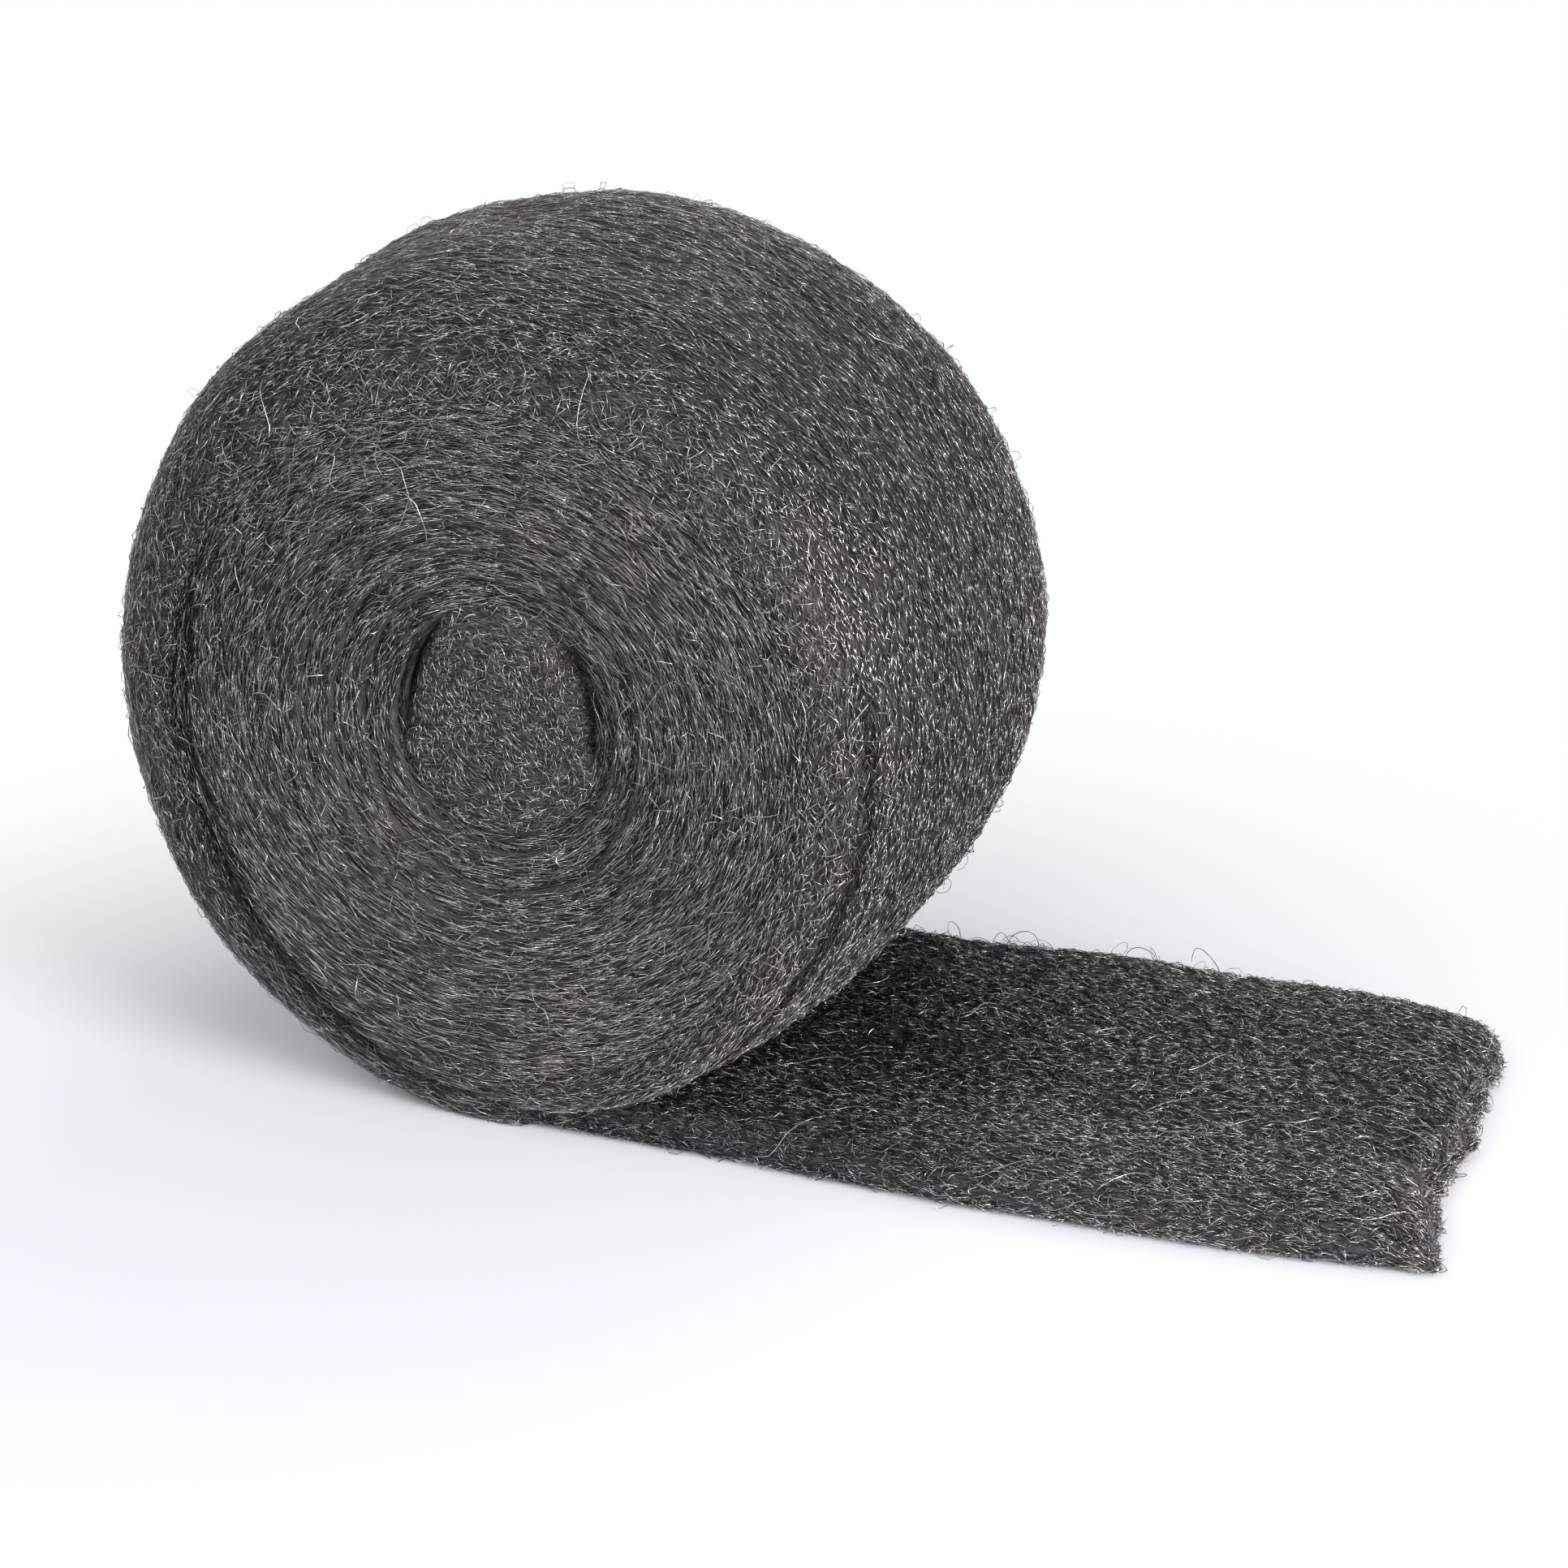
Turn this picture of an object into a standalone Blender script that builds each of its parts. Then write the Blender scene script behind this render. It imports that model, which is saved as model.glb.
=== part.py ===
"""Steel wool roll: one long strip of steel wool wound on itself, with its free end run out on the bench.

The strip starts as a folded wad in the middle and winds round it in touching turns. It leaves the
underside of the roll as a flat tail with a torn end. The roll's axis is Y, the bench is Z = 0, and the
tail runs along +X. The strip thins towards its two edges, so the wound roll has rounded shoulders.
"""

import math

import bmesh
import bpy
from mathutils import Matrix

# Driving dimensions, in metres
STRIP_WIDTH = 0.082
LAYER_PITCH = 0.0065  # one turn's thickness in the middle of the strip, pressed by winding
TURNS = 8.55
WAD_RADIUS = 0.0183  # mean radius of the folded wad that the strip is wound on
TAIL_LENGTH = 0.1432  # from below the roll's axis to the torn end
TAIL_THICKNESS = 0.0078  # the strip springs back to this as it leaves the roll

# How the soft layers lie
LAYER_BITE = 0.0015  # how far each turn beds into the turn beneath it
SAG = 0.05  # share of its height that the roll loses under its own weight
FLAT_SPOT = 0.0010  # how far the underside is pressed flat beyond that
EDGE_ROUND = 0.0040  # how far in from its edge the last turn and the tail start to round off
PACKED_ROUND = 0.0014  # the same for the turns that are packed within
EDGE_THINNING = 0.26  # share of the thickness lost by the strip's edge
EDGE_THINNING_POWER = 4.0
LUMP_HEIGHT = 0.0006  # the fleece is uneven by soft lumps, this high and a few centimetres apart

# Form of the wound roll
FACE_DISH = 0.0070  # how far the first turns' edges lie below the widest turn's
SHOULDER_TUCK = 0.0008  # how far the last turn's edges are drawn in
WIDEST_TURN = 0.62  # where the widest turn lies, as a share of the way out
START_NARROWING = 0.003  # the strip's torn start is this much narrower at each edge
UNDERSIDE_ANGLE = math.radians(75)  # the shoulders square up within this of straight down
LOOSE_ANGLE = math.radians(120)  # the last turn loosens over this much before it becomes the tail
SLACK = 0.0027  # and hangs out by this much on the way
SLACK_ANGLE = math.radians(105)  # over this much before the tail

# Form of the wad
WAD_OVAL = 0.095  # the wad is longer one way, and the first turns follow it
WAD_TILT = math.radians(82)  # direction of its long axis, from +X towards +Z
WAD_SINK = 0.0002  # how far its ends lie below the first turn's edges
WAD_ROUND = 0.0030  # rounding of its ends, which leaves a crease inside the first turn

# Form of the tail
TAIL_NECK = 0.0035  # where it leaves the roll it is narrower by this much at each edge
TAIL_SPREAD = 0.085  # and regains its full width over this length
TAIL_NARROWING = 0.0030  # the last stretch draws in by this much at each edge
TAIL_NARROWING_LENGTH = 0.040
TEAR_SKEW = 0.0048  # the torn end reaches this much further at one edge, and less at the other
TEAR_WAVE = 0.0014  # height of the torn end's waves
TEAR_WAVES = 2.5  # waves across the strip
TEAR_LENGTH = 0.012  # length over which the strip thins out to the torn end
TEAR_THINNING = 0.55  # share of the thickness lost there

# Facets
STEPS_PER_TURN = 35.5  # the half step sets each turn's facets between those of the turn beneath
TAIL_STEPS = 12
TEAR_STEPS = 3
WIDTH_STEPS = 8
EDGE_STEPS = 3
WAD_SIDES = 32
WAD_ROUND_STEPS = 4
SHARP_ANGLE = math.radians(60)  # edges sharper than this, as round the torn end, aren't shaded smooth

HALF_WIDTH = STRIP_WIDTH / 2
TURN = 2 * math.pi
TOTAL_ANGLE = TURNS * TURN
SPRING_BACK = TAIL_THICKNESS - LAYER_PITCH
OUTER_RADIUS = WAD_RADIUS + TURNS * LAYER_PITCH
HEIGHT_SHARE = 1 - SAG
AXIS_HEIGHT = (OUTER_RADIUS + SPRING_BACK) * HEIGHT_SHARE - FLAT_SPOT


def smooth(value):
    """Eases a share from 0 to 1 with no corner at either end."""
    value = min(1.0, max(0.0, value))
    return value * value * (3 - 2 * value)


def thinning(across, arch):
    """Share of the middle's thickness left at a place across the strip, from -1 to 1.

    The arch is 1 where the strip thins fully towards its edges and 0 where it is pressed level.
    """
    return 1 - EDGE_THINNING * arch * abs(across) ** EDGE_THINNING_POWER


def edge_rounding(y, half_width, rounding):
    """Share of the thickness left by the elliptical rounding along the strip's edge."""
    into_edge = max(0.0, abs(y) - (half_width - rounding)) / rounding
    return math.sqrt(max(0.0, 1 - into_edge**2))


def places_across(half_width, rounding):
    """The y of each section point from one edge to the other, closer together where the edges round off."""
    flat = half_width - rounding
    middle = [flat * (2 * i / WIDTH_STEPS - 1) for i in range(WIDTH_STEPS + 1)]
    turns = [math.pi / 2 * i / EDGE_STEPS for i in range(1, EDGE_STEPS + 1)]
    rounded = [flat + rounding * math.sin(turn) for turn in turns]
    return [-y for y in reversed(rounded)] + middle + rounded


def lumps(along, across):
    """Height of the soft lumps at a distance along the strip and across it."""
    first = math.sin(150 * along + 1.3) * math.sin(105 * across + 0.4)
    second = 0.7 * math.sin(120 * along - 70 * across + 2.1)
    third = 0.6 * math.sin(60 * along + 150 * across + 4.0)
    return LUMP_HEIGHT * (first + second + third) / 2


def wound_half_width(radius):
    """Half the width of a turn: the faces are dished inside the widest turn and tucked in outside it."""
    widest = WAD_RADIUS + WIDEST_TURN * (OUTER_RADIUS - WAD_RADIUS)
    inward = max(0.0, (widest - radius) / (widest - WAD_RADIUS))
    outward = max(0.0, (radius - widest) / (OUTER_RADIUS - widest))
    return HALF_WIDTH - FACE_DISH * inward**2 - SHOULDER_TUCK * outward**2


def lay_radius(angle, theta, thinned, y):
    """Radius of the strip's outer side at a winding angle, where this share of its thickness is left.

    A turn's inner side lies on the same radius, one turn earlier. Before the first turn it is the wad's.
    """
    angle = max(0.0, angle)
    oval = WAD_OVAL * (1 - angle / TOTAL_ANGLE) * math.cos(2 * (theta - WAD_TILT))
    lumpy = lumps(angle * OUTER_RADIUS, y) * smooth(angle / TURN)
    return (WAD_RADIUS + LAYER_PITCH * angle / TURN * thinned) * (1 + oval) + lumpy


def wound_section(angle):
    """Section of the strip at a winding angle, down its inner side and back along its outer side.

    Over the first turn it thickens from its torn start, which is buried in the wad. Nothing goes below
    the bench, which makes the flat spot.
    """
    theta = angle - TOTAL_ANGLE - math.pi / 2
    from_bottom = abs(math.remainder(theta + math.pi / 2, TURN))
    arch = smooth(from_bottom / UNDERSIDE_ANGLE)
    to_end = TOTAL_ANGLE - angle
    slack = SLACK * math.sin(math.pi * min(1.0, to_end / SLACK_ANGLE)) ** 2
    loosened = SPRING_BACK * smooth(1 - to_end / LOOSE_ANGLE) + slack
    neck = smooth(1 - to_end / UNDERSIDE_ANGLE)
    rounding = PACKED_ROUND + (EDGE_ROUND - PACKED_ROUND) * smooth((1.36 - to_end / TURN) / 0.85)
    half_width = wound_half_width(WAD_RADIUS + LAYER_PITCH * angle / TURN)
    half_width -= START_NARROWING * (1 - smooth(angle / TURN))
    half_width += neck * (HALF_WIDTH - TAIL_NECK - half_width)
    inner, outer = [], []
    for y in places_across(half_width, rounding):
        thinned = thinning(y / half_width, arch)
        lower = lay_radius(angle - TURN, theta, thinned, y) - LAYER_BITE / 2
        upper = lay_radius(angle, theta, thinned, y) + loosened + LAYER_BITE / 2
        middle = (lower + upper) / 2
        reach = (upper - lower) / 2 * edge_rounding(y, half_width, rounding)
        for side, radius in ((inner, middle - reach), (outer, middle + reach)):
            z = AXIS_HEIGHT + HEIGHT_SHARE * radius * math.sin(theta)
            side.append((radius * math.cos(theta), y, max(0.0, z)))
    return inner + outer[::-1]


def torn_end(across):
    """How far the tail reaches at a place across the strip, with the skew and waves of a torn end."""
    wave = math.sin(math.pi * TEAR_WAVES * (across + 1))
    return TAIL_LENGTH - TEAR_SKEW * across**3 + TEAR_WAVE * wave


def tail_section(distance):
    """Section of the tail, flat on the bench, at a distance along its middle."""
    share = distance / TAIL_LENGTH
    spread = smooth(distance / TAIL_SPREAD)
    to_end = TAIL_LENGTH - distance
    narrowed = max(0.0, 1 - to_end / TAIL_NARROWING_LENGTH) ** 2
    torn = max(0.0, 1 - to_end / TEAR_LENGTH) ** 2
    half_width = HALF_WIDTH - TAIL_NECK * (1 - spread) - TAIL_NARROWING * narrowed
    underside, top = [], []
    for y in places_across(half_width, EDGE_ROUND):
        across = y / half_width
        thickness = TAIL_THICKNESS + lumps(TOTAL_ANGLE * OUTER_RADIUS + distance, y)
        middle = thickness * thinning(across, spread) * (1 - TEAR_THINNING * torn) / 2
        reach = middle * edge_rounding(y, half_width, EDGE_ROUND)
        x = share * torn_end(across)
        underside.append((x, y, middle - reach))
        top.append((x, y, middle + reach))
    return top + underside[::-1]


def loft(name, sections):
    """One closed mesh through sections of as many points each, with its first and last section filled."""
    shell = bmesh.new()
    rings = [[shell.verts.new(point) for point in section] for section in sections]
    count = len(rings[0])
    for near, far in zip(rings, rings[1:]):
        for i in range(count):
            j = (i + 1) % count
            shell.faces.new((near[i], far[i], far[j], near[j]))
    shell.faces.new(rings[0])
    shell.faces.new(rings[-1][::-1])
    bmesh.ops.remove_doubles(shell, verts=shell.verts, dist=1e-6)
    bmesh.ops.recalc_face_normals(shell, faces=shell.faces)
    mesh = bpy.data.meshes.new(name)
    shell.to_mesh(mesh)
    shell.free()
    mesh.shade_smooth()
    mesh.set_sharp_from_angle(angle=SHARP_ANGLE)
    return bpy.data.objects.new(name, mesh)


def wound_strip(name):
    """The whole strip as one solid, from its start in the wad to the torn end of the tail."""
    steps = int(TURNS * STEPS_PER_TURN)
    angles = [TOTAL_ANGLE - TURN * i / STEPS_PER_TURN for i in range(steps, -1, -1)]
    plain_length = TAIL_LENGTH - TEAR_LENGTH
    distances = [plain_length * i / TAIL_STEPS for i in range(1, TAIL_STEPS + 1)]
    distances += [plain_length + TEAR_LENGTH * i / TEAR_STEPS for i in range(1, TEAR_STEPS + 1)]
    return loft(name, [*map(wound_section, angles), *map(tail_section, distances)])


def folded_wad(name):
    """The strip's start, folded to an oval plug with rounded ends."""
    half_length = wound_half_width(WAD_RADIUS + LAYER_PITCH) - WAD_SINK
    shape = bmesh.new()
    bmesh.ops.create_cone(
        shape,
        cap_ends=True,
        segments=WAD_SIDES,
        radius1=1.0,
        radius2=1.0,
        depth=2 * half_length,
        matrix=Matrix.Rotation(math.pi / 2, 4, "X"),
    )
    long_radius = WAD_RADIUS * (1 + WAD_OVAL) + LAYER_BITE
    short_radius = WAD_RADIUS * (1 - WAD_OVAL) + LAYER_BITE
    oval = Matrix.Diagonal((long_radius, 1.0, short_radius, 1.0))
    sag = Matrix.Diagonal((1.0, 1.0, HEIGHT_SHARE, 1.0))
    turned = Matrix.Rotation(-WAD_TILT, 4, "Y")
    place = Matrix.Translation((0, 0, AXIS_HEIGHT))
    bmesh.ops.transform(shape, matrix=place @ sag @ turned @ oval, verts=shape.verts)
    mesh = bpy.data.meshes.new(name)
    shape.to_mesh(mesh)
    shape.free()
    mesh.shade_smooth()
    wad = bpy.data.objects.new(name, mesh)
    rounding = wad.modifiers.new("rounded ends", "BEVEL")
    rounding.width = WAD_ROUND
    rounding.segments = WAD_ROUND_STEPS
    rounding.limit_method = "ANGLE"
    rounding.angle_limit = math.radians(60)
    return wad


def steel_wool():
    """Bright steel fibres that trap most of the light, so the mass is a soft dark grey."""
    material = bpy.data.materials.new("steel wool")
    material.use_nodes = True
    surface = material.node_tree.nodes["Principled BSDF"]
    surface.inputs["Base Color"].default_value = (0.075, 0.072, 0.073, 1.0)
    surface.inputs["Metallic"].default_value = 0.6
    surface.inputs["Roughness"].default_value = 0.55
    return material


def main():
    for old in list(bpy.data.objects):
        bpy.data.objects.remove(old)
    roll_parts = bpy.data.collections.new("steel wool roll")
    helpers = bpy.data.collections.new("helpers")
    for collection in (roll_parts, helpers):
        bpy.context.scene.collection.children.link(collection)

    roll = wound_strip("steel_wool_roll")
    roll_parts.objects.link(roll)
    wad = folded_wad("wad_shape")
    helpers.objects.link(wad)
    wad.hide_render = True
    wad.display_type = "WIRE"

    # The turns overlap by the bite, and this union makes them and the wad one body.
    joined = roll.modifiers.new("turns and wad in one", "BOOLEAN")
    joined.operation = "UNION"
    joined.solver = "EXACT"
    joined.use_self = True
    joined.object = wad
    roll.data.materials.append(steel_wool())


main()
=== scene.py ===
"""Steel wool roll, with its surface of fibres.

The roll is one long strip of fine steel wool. It starts as a folded wad, winds round that wad in touching
turns, and runs out over the bench as a flat tail with a torn end. A skin that follows the strip stands for
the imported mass. Fibres lie on it along the strip, as the wool's grain does, and others stand out of it.
All sizes are in metres, with the roll's axis along Y, the bench at Z = 0 and the tail along +X.
"""

import math
from functools import partial

import bpy
import numpy as np
from bpy.props import FloatProperty, FloatVectorProperty, IntProperty, PointerProperty
from mathutils import Matrix, Vector


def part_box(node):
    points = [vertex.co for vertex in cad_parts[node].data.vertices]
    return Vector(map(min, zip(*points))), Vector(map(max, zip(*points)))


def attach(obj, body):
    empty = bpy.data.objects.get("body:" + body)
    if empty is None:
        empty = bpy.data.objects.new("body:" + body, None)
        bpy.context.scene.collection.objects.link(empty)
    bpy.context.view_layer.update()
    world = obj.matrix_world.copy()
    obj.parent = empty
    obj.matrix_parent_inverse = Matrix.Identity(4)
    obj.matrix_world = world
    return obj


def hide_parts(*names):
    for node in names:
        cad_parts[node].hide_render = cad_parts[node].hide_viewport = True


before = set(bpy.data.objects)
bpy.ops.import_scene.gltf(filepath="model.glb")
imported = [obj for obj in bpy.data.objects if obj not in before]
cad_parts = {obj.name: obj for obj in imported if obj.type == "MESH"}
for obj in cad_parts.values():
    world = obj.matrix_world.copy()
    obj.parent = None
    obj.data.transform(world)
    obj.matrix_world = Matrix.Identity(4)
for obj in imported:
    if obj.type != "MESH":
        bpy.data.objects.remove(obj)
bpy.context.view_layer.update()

bl_info = {
    "name": "Steel Wool Roll",
    "version": (1, 0, 0),
    "blender": (4, 5, 0),
    "location": "3D View > Sidebar > Steel Wool",
    "description": "Builds a roll of steel wool with its surface of loose fibres",
    "category": "Add Mesh",
}

BODY = "root"
ROLL_NODE = "steel_wool_roll"
ROLL_LOW, ROLL_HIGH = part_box(ROLL_NODE)
TURN = 2 * math.pi
FRONT, BACK = -1, 1  # which way along Y a face of the roll looks
FACE_ACROSS = 0.97  # how far across the strip, as a share of half its width, a face's turns are measured
PLAIN_STEPS, TORN_STEPS, FUZZ_STEPS, STRAY_STEPS, HAIR_STEPS = 3, 4, 4, 8, 14  # points along each kind
TOUSLED = 0.9  # how much further fibres stray from the grain where the fleece is most tousled

# Added to the seed, so that each kind of piece has a random lie of its own.
PIECE_SEEDS = {"tread": 0, "face": 20, "wad": 40, "tail": 60, "torn": 61, "fuzz": 80, "hairs": 120}

# The two gaps between the wad and the first turn, as headings in degrees.
WAD_GAPS = (155, 18)

# Painted light and shade on the last turn's front edge: how far in from the edge, how wide, the heading of
# its middle, the cosine to that where it starts, the rise to its full strength, and the added lightness.
EDGE_PAINTED_LIGHT = (
    (0.0045, 0.0011, -0.42, 0.76, 0.1, -0.5),  # painted shade of a fold on the lower right
    (0.006, 0.008, 0.6, -0.1, 0.6, 0.08),  # a painted sheen on the shoulder on the upper right
    (0.002, 0.006, -0.3, 0.5, 0.4, 0.14),  # a painted sheen on the rim on the right
)


def linear(hex_colour):
    """A colour written as sRGB hex, as the linear values that Blender takes."""
    values = [int(hex_colour[i : i + 2], 16) / 255 for i in (1, 3, 5)]
    return [v / 12.92 if v <= 0.04045 else ((v + 0.055) / 1.055) ** 2.4 for v in values]


# Each of the next functions makes one property of a group below, of the kind that it is named for.


def length(name, description, default):
    return FloatProperty(name=name, description=description, default=default, unit="LENGTH", precision=5)


def angle(name, description, degrees):
    return FloatProperty(name=name, description=description, default=math.radians(degrees), unit="ROTATION")


def share(name, description, default):
    return FloatProperty(name=name, description=description, default=default, min=0.0, max=1.0)


def number(name, description, default):
    return FloatProperty(name=name, description=description, default=default)


def count(name, description, default):
    return IntProperty(name=name, description=description, default=default, min=1)


def colour(name, description, hex_colour):
    return FloatVectorProperty(
        name=name, description=description, default=linear(hex_colour), subtype="COLOR", min=0.0, max=1.0
    )


class WoolRollSizes(bpy.types.PropertyGroup):
    """How the strip is wound and how it runs out."""

    strip_width: length("Strip width", "Width of the fleece strip", ROLL_HIGH.y - ROLL_LOW.y)
    layer_pitch: length("Layer pitch", "Thickness of one turn in the middle of the strip", 0.0065)
    layer_bite: length("Layer bite", "How far each turn beds into the turn beneath it", 0.0015)
    turns: number("Turns", "Turns round the wad", 8.55)
    sag: share("Sag", "Share of its height that the roll loses under its own weight", 0.05)
    flat_spot: length("Flat spot", "How far the underside is pressed flat beyond the sag", 0.0010)
    edge_round: length("Edge rounding", "How far in the last turn's edge and the tail's round off", 0.0040)
    packed_round: length("Packed edge rounding", "The same for the turns that are packed within", 0.0008)
    edge_thinning: share("Edge thinning", "Share of the thickness lost by the strip's edge", 0.26)
    face_dish: length("Face dish", "How far the first turns lie below the widest turn", 0.0070)
    shoulder_tuck: length("Shoulder tuck", "How far the last turn's edges are drawn in", 0.0008)
    widest_turn: share("Widest turn", "Where the widest turn lies, as a share of the way out", 0.62)
    start_narrowing: length("Start narrowing", "How much narrower the torn start is, at each edge", 0.0010)
    underside_angle: angle("Underside angle", "The shoulders square up this near to straight down", 75)
    loose_angle: angle("Loose angle", "The last turn loosens over this much before the tail", 120)
    slack: length("Slack", "How far the last turn hangs out before the tail", 0.0027)
    slack_angle: angle("Slack angle", "Over this much before the tail", 105)
    wad_radius: length("Wad radius", "Mean radius of the folded wad in the middle", 0.0183)
    wad_oval: share("Wad oval", "How much longer the wad is one way", 0.095)
    wad_tilt: angle("Wad tilt", "Direction of the wad's long axis, from +X towards +Z", 82)
    wad_crown: length("Wad crown", "How far the wad's ends bulge in the middle", 0.0012)
    wad_round: length("Wad rounding", "How far the wad's ends drop away at their edge", 0.0026)
    wad_gap: length("Wad gap", "Width of the two gaps between the wad and the first turn", 0.0011)
    tail_length: length("Tail length", "From below the axis to the torn end", 0.1432)
    tail_thickness: length("Tail thickness", "The strip springs back to this as it leaves the roll", 0.0078)
    tail_neck: length("Tail neck", "How much narrower it is where it leaves the roll, at each edge", 0.0035)
    tail_spread: length("Tail spread", "Length over which it regains its width", 0.085)
    tail_narrowing: length("Tail narrowing", "How much the last stretch draws in, at each edge", 0.0030)
    tail_narrowing_length: length("Narrowing length", "Length of that last stretch", 0.040)
    tear_skew: length("Tear skew", "How much further the torn end reaches at one edge", 0.0048)
    tear_wave: length("Tear wave", "Height of the torn end's waves", 0.0014)
    tear_waves: number("Tear waves", "Waves across the torn end", 2.5)
    tear_length: length("Tear length", "Length over which the strip thins out to the torn end", 0.012)
    tear_thinning: share("Tear thinning", "Share of the thickness lost there", 0.34)
    tear_round: length("Tear rounding", "Length over which the torn end closes up", 0.0018)
    tear_notch: length("Tear notches", "Depth of the small notches in the torn end", 0.0004)
    lump_height: length("Lump height", "Height of the soft lumps all over the fleece", 0.0006)


class WoolFibreSizes(bpy.types.PropertyGroup):
    """How the fibres are drawn. Real ones are 0.03 to 0.1 mm thick. They are drawn about 0.2 mm thick and
    fewer, as coarse as they need to be to show from the distance at which the whole roll is seen."""

    width: length("Fibre width", "Thickness that a fibre is drawn with", 0.00018)
    run: length("Fibre run", "Mean length of a fibre that shows before it dips under others", 0.0044)
    depth: length("Fleece depth", "Depth of the layer that the fibres lie in", 0.00036)
    spread: angle("Lie spread", "How far a usual fibre strays from the grain", 10)
    tread: count("Tread fibres", "Fibres in each of the two layers on the roll's round side", 31700)
    face: count("Front fibres", "Fibres on the front face", 22500)
    back: count("Back fibres", "Fibres on the back face", 11000)
    tail: count("Tail fibres", "Fibres on the tail", 25500)
    torn: count("Torn end fibres", "Fibres that stand in the tail's torn end", 3800)
    wad: count("Wad fibres", "Fibres on each end of the wad", 2600)
    fuzz: count("Fuzz fibres", "Fibres that stand out of the fleece, before each side takes its share", 2700)
    stray: count("Stray fibres", "Long fibres that cross the others, before each side takes its share", 220)
    seed: IntProperty(name="Seed", description="Start value of the random lie", default=7)


class WoolColours(bpy.types.PropertyGroup):
    """Colours of the steel and of what it lies on."""

    # The fibres' ramp runs between these two: their own dark and light tones, with painted shade deep in the
    # fleece and painted glints at the light end.
    dark_steel_and_shade: colour("Dark steel", "Fibres deep in the fleece", "#332d37")
    light_steel_and_glint: colour("Light steel", "Fibres on top of the fleece", "#d8d1cf")
    # Painted shade that shows between the strands of the packed steel.
    gap: colour("Gaps", "What shows between the fibres", "#19151c")
    packed: colour("Packed steel", "Fibres too deep to be built one by one", "#676167")
    floor: colour("Bench", "The pale surface that the roll stands on", "#dddbe2")


class WoundStrip:
    """The strip's lie, as surfaces of two parameters worked out from the roll's sizes.

    A place on the wound part is a winding angle and a distance across the strip. Each turn lies on the one
    before it, so its inner side is where the outer side was a turn earlier.
    """

    def __init__(self, sizes):
        self.sizes = sizes
        self.total = sizes.turns * TURN
        self.spring_back = sizes.tail_thickness - sizes.layer_pitch
        self.outer_radius = sizes.wad_radius + sizes.turns * sizes.layer_pitch
        self.height_share = 1 - sizes.sag
        self.axis_height = (self.outer_radius + self.spring_back) * self.height_share - sizes.flat_spot
        self.layers = math.ceil(sizes.turns)

    def heading(self, winding):
        """Direction from the axis at a winding angle, from +X towards +Z. The strip ends straight down."""
        return winding - self.total - math.pi / 2

    def thinned(self, across, heading):
        """Share of the thickness left: 1 - thinning * across**4, fading to 1 where the bench presses."""
        from_bottom = np.abs((heading + 1.5 * math.pi) % TURN - math.pi)
        arch = smooth(from_bottom / self.sizes.underside_angle)
        return 1 - self.sizes.edge_thinning * arch * np.abs(across) ** 4

    def outer_side(self, winding, heading, left, y):
        """Radius: (wad + pitch * turns so far * share left) * oval + lumps, where the oval fades outwards."""
        winding = np.maximum(0.0, winding)
        fade = 1 - winding / self.total
        oval = self.sizes.wad_oval * fade * np.cos(2 * (heading - self.sizes.wad_tilt))
        lumpy = lumps(self.sizes, winding * self.outer_radius, y) * smooth(winding / TURN)
        return (self.sizes.wad_radius + self.sizes.layer_pitch * winding / TURN * left) * (1 + oval) + lumpy

    def half_width(self, winding):
        """Half the strip's width less a squared dish inwards and a squared tuck outwards."""
        s = self.sizes
        out = np.maximum(TURN, winding) / self.total
        inward = np.maximum(0.0, 1 - out / s.widest_turn)
        outward = np.maximum(0.0, (out - s.widest_turn) / (1 - s.widest_turn))
        half = s.strip_width / 2 - s.face_dish * inward**2 - s.shoulder_tuck * outward**2
        half = half - s.start_narrowing * (1 - smooth(winding / TURN))
        neck = smooth(1 - (self.total - winding) / s.underside_angle)
        return half + neck * (s.strip_width / 2 - s.tail_neck - half)

    def rounding(self, winding):
        """How far in the edge starts to round off: little within the roll, more on the last turn.

        It eases over 0.85 of a turn, as smooth(1.6 - turns left / 0.85).
        """
        turns_left = (self.total - winding) / TURN
        last = smooth(1.6 - turns_left / 0.85)
        return self.sizes.packed_round + (self.sizes.edge_round - self.sizes.packed_round) * last

    def edge_arc(self, rounding):
        """Length of a quarter turn round the edge, taken as a quarter of an ellipse's outline."""
        return math.pi / 2 * np.sqrt((rounding**2 + (self.sizes.layer_pitch / 2) ** 2) / 2)

    def folded(self, over, half_width, rounding):
        """y and roundness at a distance over the strip's surface from its middle line.

        It is y = distance on the flat. Past that it is a quarter turn round the edge for each arc's length,
        with y = flat + rounding * sin(turn) and roundness = cos(turn).
        """
        flat = half_width - rounding
        turn = np.maximum(0.0, np.abs(over) - flat) / self.edge_arc(rounding) * math.pi / 2
        y = np.sign(over) * (np.minimum(np.abs(over), flat) + rounding * np.sin(turn))
        return y, np.cos(turn)

    def reach(self, half_width, rounding, quarter_turns):
        """Distance over the surface from its middle line to this many quarter turns round its edge."""
        return half_width - rounding + self.edge_arc(rounding) * quarter_turns

    def wound(self, winding, over, side=1, depth=0.0):
        """Points on the strip's outer side (1) or inner side (-1), this deep under its surface.

        radius = (lower + upper) / 2 + side * reach * roundness, where lower and upper are the layer's sides,
        and reach is half of what lies between them and the bite, less the depth.
        """
        heading = self.heading(winding)
        half = self.half_width(winding) - depth
        y, roundness = self.folded(over, half, self.rounding(winding))
        left = self.thinned(y / half, heading)
        lower = self.outer_side(winding - TURN, heading, left, y)
        upper = self.outer_side(winding, heading, left, y) + self.loosened(winding)
        reach = (upper - lower + self.sizes.layer_bite) / 2 - depth
        radius = (lower + upper) / 2 + side * reach * roundness
        return self.place(radius, heading, y, depth)

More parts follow.
